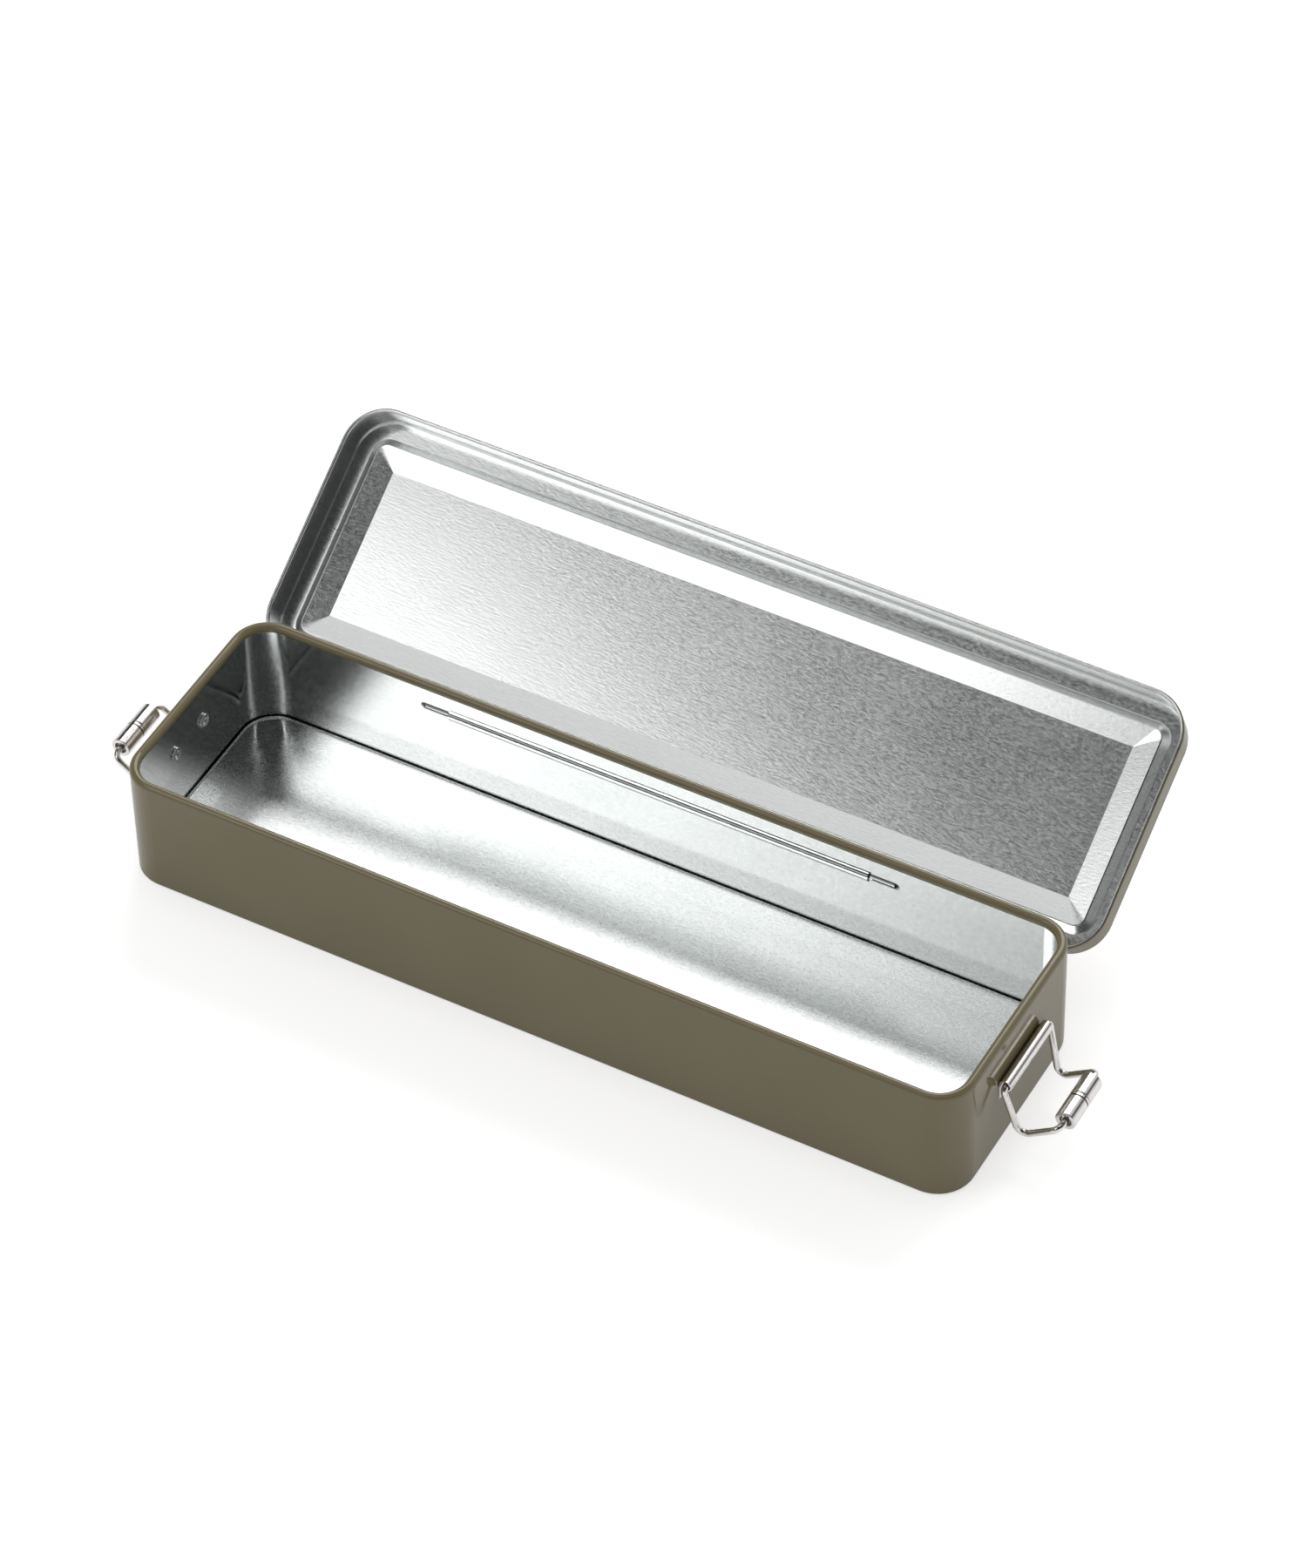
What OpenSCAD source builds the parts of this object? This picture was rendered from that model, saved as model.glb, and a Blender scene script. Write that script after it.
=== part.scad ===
// Long hinged tin for colored pencils: a folded body with a curled rim, a pressed
// lid on a wire hinge, and a wire bail catch with a split roller at each end.
// Rest pose: lid open on its stop, both bails hanging out.
// Origin: middle of the underside. +X along the length, +Y to the hinge, +Z up.

/* [Body] */
// Outside length of the body
body_l = 250; // [180:1:320]
// Outside width of the body
body_w = 70.4; // [56:0.2:100]
// Height of the body to the top of its rim
body_h = 37.4; // [35:0.1:60]
// Outside radius of the upright corners
corner_r = 10.5; // [8:0.5:16]
// Thickness of the tinplate of body, base and lid
sheet = 0.3; // [0.25:0.01:0.4]
// Diameter of the curled rim
rim_d = 2.8; // [2:0.1:3.4]
// Radius of the body's lower edge
foot_r = 0.9; // [0.6:0.1:1.5]
// Width of the flange that holds the base from below
seam_w = 3; // [2:0.1:5]
// Height of the base's upturned edge
base_lip_h = 1.65; // [1:0.05:3]

/* [Lid] */
// Angle by which the lid stands open
open_angle = 147.6; // [90:0.1:148]
// Depth of the lid from its lower edge to its ledge
lid_depth = 9.65; // [8:0.05:10.5]
// Gap between body and lid skirt at the ends
skirt_gap = 0.8; // [0.7:0.05:1.2]
// Gap between body and lid skirt at the front
front_gap = 1; // [0.9:0.05:1.3]
// Gap between body and lid skirt at the hinge
hinge_side_gap = 0.3; // [0.25:0.01:0.4]
// Gap between rim and lid when closed
seat_gap = 0.3; // [0.25:0.01:0.4]
// Diameter of the curl along the lid's lower edge
hem_d = 1.1; // [0.9:0.05:1.2]
// Width of the flat ledge at the lid's ends
ledge_w = 4.65; // [3.5:0.05:5]
// Width of the flat ledge at the lid's front and hinge side
ledge_side_w = 5.5; // [3.5:0.05:7]
// Corner radius of the recess inside the ledge
recess_r = 5; // [4:0.1:10]
// Depth of the recess below the ledge
recess_depth = 1.95; // [1.2:0.05:2.4]
// Width of the sloping step down from the ledge
step_w = 2; // [1.2:0.1:2.2]
// Width of the bevel between the step and the flat panel
bevel_w = 6.7; // [4:0.1:12]
// Rise of the flat panel above the foot of the step
bevel_rise = 0.95; // [0.3:0.05:1.2]
// Outside radius of the lid's top edge
lid_edge_r = 0.9; // [0.5:0.1:1.5]

/* [Hinge] */
// Diameter of the hinge wire
pin_d = 2; // [1.6:0.1:2.2]
// Length of the lid's knuckle
knuckle_l = 127; // [80:1:140]
// Length of the loop that holds each end of the wire
loop_l = 9; // [6:0.5:14]
// Distance from the closed lid's lower edge down to the hinge axis
hinge_drop = 1.8; // [1.75:0.05:2.2]
// Distance of the hinge axis outside the rear wall
hinge_out = 0.55; // [0.45:0.05:0.7]
// Radial clearance of the knuckle on the wire
pin_fit = 0.05; // [0.03:0.01:0.08]
// Radial clearance of the wire in its loops
loop_fit = 0.2; // [0.1:0.05:0.25]
// Radial clearance of the knuckle in its channel
channel_fit = 0.3; // [0.25:0.05:0.4]

/* [Catches] */
// Diameter of the bail wire
wire_d = 1.8; // [1.5:0.1:1.9]
// Outside diameter of the tube that holds the bail
tube_d = 3.5; // [3.3:0.1:4]
// Length of the tube
tube_l = 23.8; // [18:0.1:30]
// Thickness of the catch plate
plate_t = 0.45; // [0.4:0.05:0.6]
// Distance from the closed lid's ledge down to the tube's axis
tube_drop = 13.75; // [13.6:0.05:13.9]
// Clearance between the tube and the end wall
tube_gap = 0.3; // [0.2:0.05:0.4]
// Distance from the tube's axis down to the plate's lower edge
plate_drop = 5.7; // [5.3:0.1:6.5]
// Distance from the tube's axis down to the rivets
rivet_drop = 3.6; // [3.4:0.05:3.8]
// Distance between the two rivets of a catch
rivet_gap = 14.3; // [10:0.1:16]
// Diameter of the rivet's head outside
rivet_head_d = 3.2; // [2.8:0.1:3.4]
// Diameter of the rivet's rolled end inside
rivet_roll_d = 4.4; // [3.6:0.1:4.8]
// Diameter of the rivet's shank
rivet_d = 2.2; // [1.8:0.1:2.6]
// Length of the bail's arm from its axis to the elbow
arm_l = 17.5; // [17.2:0.1:17.7]
// Length from the elbow to the roller
nose_l = 13.5; // [13.3:0.1:13.6]
// Angle at the elbow between arm and nose
elbow_angle = 68.6; // [68:0.1:69.2]
// Width between the arms at the elbow, centre to centre
elbow_w = 22.5; // [21.5:0.1:24]
// Angle of the arm below the horizontal at rest
arm_rest = 76.4; // [72:0.1:78]
// Radius of the bends in the wire, to its centre line
bend_r = 2.4; // [1.6:0.1:2.6]
// Radius of the tight bends beside the tube, to the wire's centre line
leg_bend_r = 1.3; // [1:0.05:1.4]
// Length of each wire end inside the tube
leg_l = 9.5; // [6:0.5:10.5]

/* [Rollers] */
// Outside diameter of the roller sleeves
sleeve_d = 5.8; // [5:0.1:6]
// Length of one sleeve
sleeve_l = 7.2; // [5.5:0.1:7.6]
// Width of the ring between the sleeves
ring_w = 0.8; // [0.6:0.1:1]
// End play of a sleeve beside the ring
sleeve_play = 0.3; // [0.25:0.05:0.35]
// Radial clearance of a sleeve on the wire
sleeve_fit = 0.06; // [0.03:0.01:0.1]
// Diameter of the open mouth at a sleeve's outer end
mouth_d = 3.4; // [2.8:0.1:4]
// Depth of the open mouth
mouth_depth = 1.6; // [1:0.1:3]

/* [Hidden] */

$fn = 48;
paint = "#766e5a";
tinplate = "#c9ccc9";
steel = "#b9bbbd";
nickel = "#d4d3cf";
eps = 0.01;                                 // overreach of a cut past a face

// heights that the closed lid sets
ledge_z = body_h + seat_gap;                // underside of the ledge
hem_z = ledge_z - lid_depth;                // lid's lower edge
hinge_z = hem_z - hinge_drop;
tube_z = ledge_z - tube_drop;

// hinge
axis_y = body_w / 2 + hinge_out;
knuckle_ri = pin_d / 2 + pin_fit;
knuckle_ro = knuckle_ri + sheet;
channel_ri = knuckle_ro + channel_fit;
channel_ro = channel_ri + sheet;
loop_ri = pin_d / 2 + loop_fit;
loop_ro = loop_ri + sheet;
loop_end = knuckle_l / 2 + loop_l;
knuckle_end_gap = 0.4;                      // knuckle to each end of the channel
tongue_l = knuckle_l - 2 * knuckle_end_gap;
tongue_notch = 1;                           // hem's clear run beside the tongue
tongue_rise = 0.85;                         // hem's top to the start of the tongue
tongue_drop = hinge_drop + hem_d + tongue_rise;

// lid, as it lies when closed
lid_in_x = body_l / 2 + skirt_gap;          // skirt's inner faces
lid_in_front = body_w / 2 + front_gap;
lid_in_rear = body_w / 2 + hinge_side_gap;
lid_l = 2 * lid_in_x;
lid_w = lid_in_front + lid_in_rear;
lid_y = (lid_in_rear - lid_in_front) / 2;
lid_r = corner_r + skirt_gap;
recess_l = lid_l - 2 * ledge_w;
recess_w = lid_w - 2 * ledge_side_w;
foot_z = ledge_z - recess_depth;            // underside at the foot of the step
panel_l = recess_l - 2 * step_w - 2 * bevel_w;
panel_w = recess_w - 2 * step_w - 2 * bevel_w;

// catches
tube_x = body_l / 2 + tube_gap + tube_d / 2;
rivet_z = tube_z - rivet_drop;
arm_gap = 0.4;                              // tube's end to the arm
arm_w = tube_l + 2 * arm_gap + wire_d;      // centre to centre at the tube
tube_fit = 0.4;                             // radial play of the wire in the tube
elbow_x = tube_x + arm_l * cos(arm_rest);
elbow_z = tube_z - arm_l * sin(arm_rest);
nose_dir = 180 - arm_rest - elbow_angle;    // nose's angle above the horizontal
roller_x = elbow_x + nose_l * cos(nose_dir);
roller_z = elbow_z + nose_l * sin(nose_dir);
sleeve_y0 = ring_w / 2 + sleeve_play;       // sleeve's inner end

// ---- shapes shared by the sheet-metal pieces ----

// Rectangle with round corners, centred
module round_rect(l, w, r) {
    square([l - 2 * r, w], center = true);
    square([l, w - 2 * r], center = true);
    for (sx = [-1, 1], sy = [-1, 1])
        translate([sx * (l / 2 - r), sy * (w / 2 - r)]) circle(r, $fn = 64);
}

// Runs a 2D profile around a rounded rectangle; profile x is the distance outward
module run_round(l, w, r) {
    for (side = [0, 1]) {
        rotate([0, 0, 180 * side]) translate([-(l / 2 - r), -w / 2, 0])
            rotate([90, 0, 90]) mirror([1, 0, 0]) linear_extrude(l - 2 * r) children();
        rotate([0, 0, 90 + 180 * side]) translate([-(w / 2 - r), -l / 2, 0])
            rotate([90, 0, 90]) mirror([1, 0, 0]) linear_extrude(w - 2 * r) children();
    }
    for (k = [0:3]) {
        sx = (k == 0 || k == 3) ? 1 : -1;
        sy = k < 2 ? 1 : -1;
        translate([sx * (l / 2 - r), sy * (w / 2 - r), 0]) rotate([0, 0, 90 * k])
            rotate_extrude(angle = 90, $fn = 64) translate([r, 0]) children();
    }
}

// Ring section of sheet, rolled to an outside diameter d
module roll_section(d, t) {
    difference() {
        circle(d = d, $fn = 32);
        circle(d = d - 2 * t, $fn = 32);
    }
}

// Cylinder along X, centred
module x_rod(l, r) {
    rotate([0, 90, 0]) cylinder(h = l, r = r, center = true, $fn = 48);
}

// Puts a closed lid where it lies when open
module opened() {
    translate([0, axis_y, hinge_z]) rotate([-open_angle, 0, 0])
        translate([0, -axis_y, -hinge_z]) children();
}

// ---- body ----

// Section of the body wall: curled rim, wall, rounded foot and base flange
module wall_section() {
    translate([-rim_d / 2, body_h - rim_d / 2]) roll_section(rim_d, sheet);
    translate([-sheet, foot_r]) square([sheet, body_h - rim_d / 2 - foot_r]);
    translate([-foot_r, foot_r]) intersection() {
        difference() {
            circle(foot_r, $fn = 32);
            circle(foot_r - sheet, $fn = 32);
        }
        translate([0, -foot_r]) square(foot_r);
    }
    translate([-seam_w, 0]) square([seam_w - foot_r, sheet]);
}

// Loop that bulges outward around one end of the hinge wire
module wire_loop(r, side) {
    x0 = knuckle_l / 2;
    x1 = loop_end - loop_ro;                // where the wire ends and the loop closes over it
    translate([side * (x0 + x1) / 2, axis_y, hinge_z]) x_rod(x1 - x0, r);
    translate([side * x1, axis_y, hinge_z]) rotate([0, 90, 0]) sphere(r, $fn = 48);
}

module body_wall() {
    color(paint) difference() {
        union() {
            run_round(body_l, body_w, corner_r) wall_section();
            intersection() {
                translate([0, axis_y, hinge_z]) x_rod(knuckle_l, channel_ro);
                translate([-knuckle_l / 2, body_w / 2 - 2 * channel_ro, hinge_z - channel_ro])
                    cube([knuckle_l, 2 * channel_ro, 2 * channel_ro]);
            }
            for (side = [-1, 1]) intersection() {
                wire_loop(loop_ro, side);
                translate([-loop_end, body_w / 2 - sheet, hinge_z - loop_ro])
                    cube([2 * loop_end, 2 * loop_ro + hinge_out, 2 * loop_ro]);
            }
        }
        translate([0, axis_y, hinge_z]) x_rod(knuckle_l, channel_ri);
        for (side = [-1, 1]) wire_loop(loop_ri, side);
        for (side = [-1, 1], dy = [-1, 1])
            translate([side * body_l / 2, dy * rivet_gap / 2, rivet_z])
                x_rod(4 * sheet, rivet_d / 2);
    }
}

// Shallow pan that lies on the wall's flange, its middle flush with the underside
module base_panel() {
    l = body_l - 2 * sheet;
    w = body_w - 2 * sheet;
    r = corner_r - sheet;
    dip = seam_w + sheet;                   // wall's outside to the edge of the dip
    color(tinplate) {
        difference() {
            translate([0, 0, sheet]) linear_extrude(base_lip_h - sheet) round_rect(l, w, r);
            translate([0, 0, 2 * sheet]) linear_extrude(base_lip_h)
                round_rect(l - 2 * sheet, w - 2 * sheet, r - sheet);
            linear_extrude(base_lip_h)
                round_rect(body_l - 2 * dip - 2 * sheet, body_w - 2 * dip - 2 * sheet,
                           corner_r - dip - sheet);
            foot_relief();
        }
        linear_extrude(sheet)
            round_rect(body_l - 2 * dip, body_w - 2 * dip, corner_r - dip);
    }
}

// Space of the body's rounded foot, cut from the base's outer edge
module foot_relief() {
    difference() {
        translate([0, 0, -eps]) linear_extrude(foot_r + eps)
            round_rect(body_l, body_w, corner_r);
        translate([0, 0, -2 * eps]) linear_extrude(foot_r + 3 * eps)
            round_rect(body_l - 2 * foot_r, body_w - 2 * foot_r, corner_r - foot_r);
        run_round(body_l, body_w, corner_r) translate([-foot_r, foot_r])
            circle(foot_r - sheet, $fn = 32);
    }
}

module hinge_wire() {
    color(steel) translate([0, axis_y, hinge_z])
        x_rod(2 * (loop_end - loop_ro), pin_d / 2);
}

// ---- lid ----

// Section of the lid's skirt and top edge; x = 0 is the skirt's inner face
module skirt_section() {
    top = ledge_z + sheet;
    translate([hem_d / 2, hem_z + hem_d / 2]) roll_section(hem_d, sheet / 1.25);
    translate([0, hem_z + hem_d / 2]) square([sheet, top - lid_edge_r - hem_z - hem_d / 2]);
    translate([sheet - lid_edge_r, top - lid_edge_r]) intersection() {
        difference() {
            circle(lid_edge_r, $fn = 32);
            circle(lid_edge_r - sheet, $fn = 32);
        }
        square(lid_edge_r);
    }
}

// Flat ledge between the skirt's top edge and the recess
module ledge() {
    inset = 2 * (lid_edge_r - sheet);
    translate([0, 0, ledge_z]) linear_extrude(sheet) difference() {
        round_rect(lid_l - inset, lid_w - inset, lid_r - inset / 2);
        round_rect(recess_l, recess_w, recess_r);
    }
}

// Section of the sloping step, down from the ledge; x = 0 is the ledge's inner edge
module step_section() {
    polygon([[0, ledge_z], [0, ledge_z + sheet],
             [-step_w, foot_z + sheet], [-step_w, foot_z]]);
}

// Solid under the bevel and the flat panel, for its upper or lower face
module bevel_solid(z) {
    l = recess_l - 2 * step_w;
    w = recess_w - 2 * step_w;
    translate([0, 0, z]) linear_extrude(bevel_rise, scale = [panel_l / l, panel_w / w])
        square([l, w], center = true);
    translate([0, 0, z - 2 * sheet]) linear_extrude(2 * sheet) square([l, w], center = true);
}

// Tongue that leaves the skirt and rolls around the hinge wire
module knuckle() {
    dy = lid_in_rear - axis_y;              // skirt's inner face seen from the hinge axis
    a = atan2(tongue_drop, dy) - acos(knuckle_ri / norm([dy, tongue_drop]));
    n = [cos(a), sin(a)];                   // from the axis to where the tongue meets the roll
    translate([-tongue_l / 2, axis_y, hinge_z]) rotate([90, 0, 90]) linear_extrude(tongue_l) {
        difference() {
            circle(knuckle_ro, $fn = 48);
            circle(knuckle_ri, $fn = 48);
            rotate(96) square([2 * knuckle_ro, sheet / 2]);
        }
        polygon([
            [dy, tongue_drop + sheet], [dy, tongue_drop], knuckle_ri * n, knuckle_ro * n,
            [dy + sheet, tongue_drop + sheet / 4], [dy + sheet, tongue_drop + sheet]
        ]);
    }
}

module lid() {
    color(tinplate) opened() {
        difference() {
            translate([0, lid_y, 0]) run_round(lid_l, lid_w, lid_r) skirt_section();
            translate([-tongue_l / 2 - tongue_notch, lid_in_rear - eps, hem_z - eps])
                cube([tongue_l + 2 * tongue_notch, hem_d + 2 * eps,
                      hinge_z + tongue_drop + eps - hem_z]);
        }
        translate([0, lid_y, 0]) {
            ledge();
            run_round(recess_l, recess_w, recess_r) step_section();
            intersection() {
                difference() {
                    bevel_solid(foot_z + sheet);
                    bevel_solid(foot_z);
                }
                translate([0, 0, foot_z]) linear_extrude(2 * bevel_rise + 2 * sheet)
                    round_rect(recess_l - 2 * step_w, recess_w - 2 * step_w, recess_r - step_w);
            }
        }
        knuckle();
    }
}

// ---- catches, drawn at the right end and mirrored to the left ----

module at_end(side) {
    if (side > 0) children();
    else mirror([1, 0, 0]) children();
}

// Cylinder along Y from y0 to y1
module y_rod(y0, y1, r) {
    translate([0, y0, 0]) rotate([-90, 0, 0]) cylinder(h = y1 - y0, r = r, $fn = 48);
}

// Plate riveted to the end wall, its upper edge rolled into the bail's tube
module catch_plate(side) {
    color(nickel) at_end(side) difference() {
        union() {
            translate([tube_x, 0, tube_z]) y_rod(-tube_l / 2, tube_l / 2, tube_d / 2);
            translate([body_l / 2, -tube_l / 2, tube_z - plate_drop])
                cube([plate_t, tube_l, plate_drop]);
        }
        translate([tube_x, 0, tube_z])
            y_rod(-tube_l / 2 - 1, tube_l / 2 + 1, wire_d / 2 + tube_fit);
        for (dy = [-1, 1]) translate([body_l / 2, dy * rivet_gap / 2, rivet_z])
            x_rod(4 * plate_t, rivet_d / 2);
    }
}

// Pair of tubular rivets through the plate and the end wall
module rivets(side) {
    head = 0.7;
    roll = 0.7;
    grip = plate_t + sheet;
    color(nickel) at_end(side) for (dy = [-1, 1])
        translate([body_l / 2 - sheet, dy * rivet_gap / 2, rivet_z]) rotate([0, 90, 0])
            difference() {
                union() {
                    cylinder(h = grip, d = rivet_d, $fn = 32);
                    translate([0, 0, grip])
                        cylinder(h = head, d1 = rivet_head_d, d2 = 0.6 * rivet_head_d, $fn = 32);
                    translate([0, 0, -roll / 2]) rotate_extrude($fn = 32) {
                        translate([rivet_roll_d / 2 - roll / 2, 0]) circle(roll / 2, $fn = 24);
                        translate([0, -roll / 2]) square([rivet_roll_d / 2 - roll / 2, roll]);
                    }
                }
                translate([0, 0, -roll - eps])
                    cylinder(h = roll + grip / 2, d = 0.6 * rivet_d, $fn = 24);
            }
}

// Wire along a path of points; br holds the bend radius of each inner point. A collar
// of a hair's thickness more than the wire bridges every change from straight to bend.
function unit(v) = v / norm(v);
function turn(u, v) = acos(max(-1, min(1, u * v)));
module rod_along(from, v, run, r) {
    translate(from) rotate([0, acos(v.z), atan2(v.y, v.x)]) cylinder(h = run, r = r, $fn = 32);
}
module wire_path(pts, d, br) {
    n = len(pts);
    half = 0.06;                            // collar's half length
    over = 0.015;                           // collar's height above the wire
    short = half / 2;                       // how far a straight run stops before its bend
    dirs = [for (i = [0:n - 2]) unit(pts[i + 1] - pts[i])];
    cut = [for (i = [0:n - 1])
        (i == 0 || i == n - 1) ? 0 : br[i - 1] * tan(turn(dirs[i - 1], dirs[i]) / 2)];
    for (i = [0:n - 2]) {
        v = dirs[i];
        s0 = i == 0 ? 0 : cut[i] + short;
        s1 = i == n - 2 ? 0 : cut[i + 1] + short;
        rod_along(pts[i] + v * s0, v, norm(pts[i + 1] - pts[i]) - s0 - s1, d / 2);
        if (i > 0) rod_along(pts[i] + v * (cut[i] - half), v, 2 * half, d / 2 + over);
        if (i < n - 2)
            rod_along(pts[i + 1] - v * (cut[i + 1] + half), v, 2 * half, d / 2 + over);
    }
    for (i = [1:n - 2]) {
        e2 = dirs[i - 1];
        away = unit(dirs[i] - dirs[i - 1]);
        a = turn(dirs[i - 1], dirs[i]);
        c = pts[i] + away * br[i - 1] / cos(a / 2);
        e1 = unit(pts[i] - e2 * cut[i] - c);
        e3 = cross(e1, e2);
        multmatrix([[e1.x, e2.x, e3.x, c.x], [e1.y, e2.y, e3.y, c.y],
                    [e1.z, e2.z, e3.z, c.z], [0, 0, 0, 1]])
            rotate_extrude(angle = a, $fn = 64) translate([br[i - 1], 0])
                circle(d = d, $fn = 32);
    }
}

module bail(side) {
    a = arm_w / 2;
    e = elbow_w / 2;
    color(nickel) at_end(side) wire_path([
        [tube_x, -tube_l / 2 + leg_l, tube_z], [tube_x, -a, tube_z],
        [elbow_x, -e, elbow_z], [roller_x, -e, roller_z],
        [roller_x, e, roller_z], [elbow_x, e, elbow_z],
        [tube_x, a, tube_z], [tube_x, tube_l / 2 - leg_l, tube_z]
    ], wire_d, [leg_bend_r, bend_r, bend_r, bend_r, bend_r, leg_bend_r]);
}

// Narrow ring pressed on the wire between the sleeves
module roller_ring(side) {
    color(nickel) at_end(side) translate([roller_x, 0, roller_z]) difference() {
        y_rod(-ring_w / 2, ring_w / 2, sleeve_d / 2);
        y_rod(-ring_w, ring_w, wire_d / 2);
    }
}

// Sleeve that turns on the wire; dir is -1 in front of the ring and +1 behind it
module sleeve(side, dir) {
    color(nickel) at_end(side) translate([roller_x, 0, roller_z]) scale([1, dir, 1])
        difference() {
            y_rod(sleeve_y0, sleeve_y0 + sleeve_l, sleeve_d / 2);
            y_rod(sleeve_y0 - 1, sleeve_y0 + sleeve_l + 1, wire_d / 2 + sleeve_fit);
            y_rod(sleeve_y0 + sleeve_l - mouth_depth, sleeve_y0 + sleeve_l + 1, mouth_d / 2);
        }
}

body_wall();
base_panel();
hinge_wire();
lid();
catch_plate(-1);  // left_catch_plate
catch_plate(1);  // right_catch_plate
rivets(-1);  // left_rivets
rivets(1);  // right_rivets
bail(-1);  // left_bail
bail(1);  // right_bail
roller_ring(-1);  // left_roller_ring
roller_ring(1);  // right_roller_ring
sleeve(-1, -1);  // left_front_sleeve
sleeve(-1, 1);  // left_rear_sleeve
sleeve(1, -1);  // right_front_sleeve
sleeve(1, 1);  // right_rear_sleeve
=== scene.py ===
"""Looks of a long hinged pencil tin with bail catches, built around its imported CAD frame.

Lengths in the shape code are millimetres; the frame, the settings and the finished meshes
are in metres.
"""

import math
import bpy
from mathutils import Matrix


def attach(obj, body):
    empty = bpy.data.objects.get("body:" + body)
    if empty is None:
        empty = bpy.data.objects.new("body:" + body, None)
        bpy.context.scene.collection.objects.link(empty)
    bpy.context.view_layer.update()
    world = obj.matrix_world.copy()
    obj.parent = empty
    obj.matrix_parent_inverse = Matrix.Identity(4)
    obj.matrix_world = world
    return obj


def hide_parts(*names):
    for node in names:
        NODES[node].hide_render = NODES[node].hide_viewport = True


bl_info = {
    "name": "Hinged Pencil Tin",
    "version": (1, 0, 0),
    "blender": (4, 5, 0),
    "location": "3D View > Sidebar > Tin",
    "description": "Builds the looks of a long hinged tin on its CAD frame",
    "category": "Object",
}

import bpy
import numpy as np
from bpy.props import FloatProperty, FloatVectorProperty, IntProperty, PointerProperty
from mathutils import Matrix, Vector

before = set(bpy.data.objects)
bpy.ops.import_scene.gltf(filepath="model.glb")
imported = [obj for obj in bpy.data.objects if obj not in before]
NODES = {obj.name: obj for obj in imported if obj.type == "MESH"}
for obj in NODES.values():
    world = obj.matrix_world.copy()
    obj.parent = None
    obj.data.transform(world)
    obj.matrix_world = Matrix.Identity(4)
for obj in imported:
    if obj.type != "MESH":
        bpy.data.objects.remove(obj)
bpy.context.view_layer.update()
MM = 0.001
SIDES = {"left": -1, "right": 1}
ENDS = {"front": -1, "rear": 1}


# ---- sizes repeated from the part's source, in mm ----

BODY = dict(l=250, w=70.4, h=37.4, r=10.5, sheet=0.3, rim=2.8)
# the wire's place, the closing angle, and the lengths and bore radii of what lies round the wire
HINGE = dict(y=35.75, z=26.25, angle=147.6, knuckle=127, bore=1.05, loop=9, loop_bore=1.2,
             channel=1.64)
LID = dict(hx=125.8, front=-36.2, rear=35.5, r=11.3, ledge_z=37.7, hem_z=28.05, hem=1.1,
           rec_hx=121.15, rec_hy=30.35, rec_r=5, depth=1.95, step=2, bevel=6.7, rise=0.95,
           edge_r=0.9, tongue_hx=63.1, notch=1, tongue_z=30.0)
CATCH = dict(x=127.05, z=23.95, tube=3.5, len=23.8, plate=0.45, drop=5.7,
             roll_x=142.2235, roll_z=14.684, sleeve=5.8, sleeve_l=7.2, y0=0.7,
             bore=0.96, rivet_drop=3.6, rivet_gap=14.3)
LID_Y = (LID["front"] + LID["rear"]) / 2
# how far from the middle the loops of the wall begin to close over the wire's ends
LOOP_X = HINGE["knuckle"] / 2 + HINGE["loop"] - HINGE["loop_bore"] - BODY["sheet"]


# ---- settings a user would change ----

def length(name, description, default_mm, low_mm, high_mm):
    """A length setting, given in mm."""
    return FloatProperty(name=name, description=description, default=default_mm * MM,
                         min=low_mm * MM, max=high_mm * MM, unit="LENGTH", precision=5)


def color(name, description, default):
    """A colour setting."""
    return FloatVectorProperty(name=name, description=description, default=default, size=3,
                               min=0, max=1, subtype="COLOR")


def factor(name, description, default):
    """A setting from 0 to 1."""
    return FloatProperty(name=name, description=description, default=default, min=0, max=1,
                         subtype="FACTOR")


class TinSizes(bpy.types.PropertyGroup):
    """Small sizes of the sheet work and the catches"""

    seam_gap: length("Floor Seam", "Open gap between the wall and the floor pan", 0.40, 0.05, 0.6)
    pan_edge: length("Pan Edge", "Height of the floor pan's upturned edge", 0.6, 0.3, 1.0)
    step_foot: length("Step Foot", "Radius at the foot of the lid's step", 0.55, 0.1, 0.8)
    step_top: length("Step Top", "Radius at the top of the lid's step", 0.5, 0.1, 0.8)
    mouth: length("Sleeve Mouth", "Diameter of a roller sleeve's open outer end", 3.4, 2.2, 4.6)
    mouth_depth: length("Mouth Depth", "Depth of a roller sleeve's open end", 1.6, 0.5, 3.0)
    rivet_head: length("Rivet Head", "Diameter of a rivet's outer head", 3.2, 2.2, 4.0)
    rivet_curl: length("Rivet Curl", "Diameter of a rivet's curled inner end", 3.7, 2.4, 4.2)
    seam_angle: FloatProperty(name="Tube Seam", subtype="ANGLE", default=math.radians(-138),
                              description="Where the rolled tube's open seam ends, from outwards",
                              min=math.radians(-175), max=math.radians(-100))
    turns: IntProperty(name="Round Steps", description="Faces round a turned piece", default=56,
                       min=16, max=128)


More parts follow.
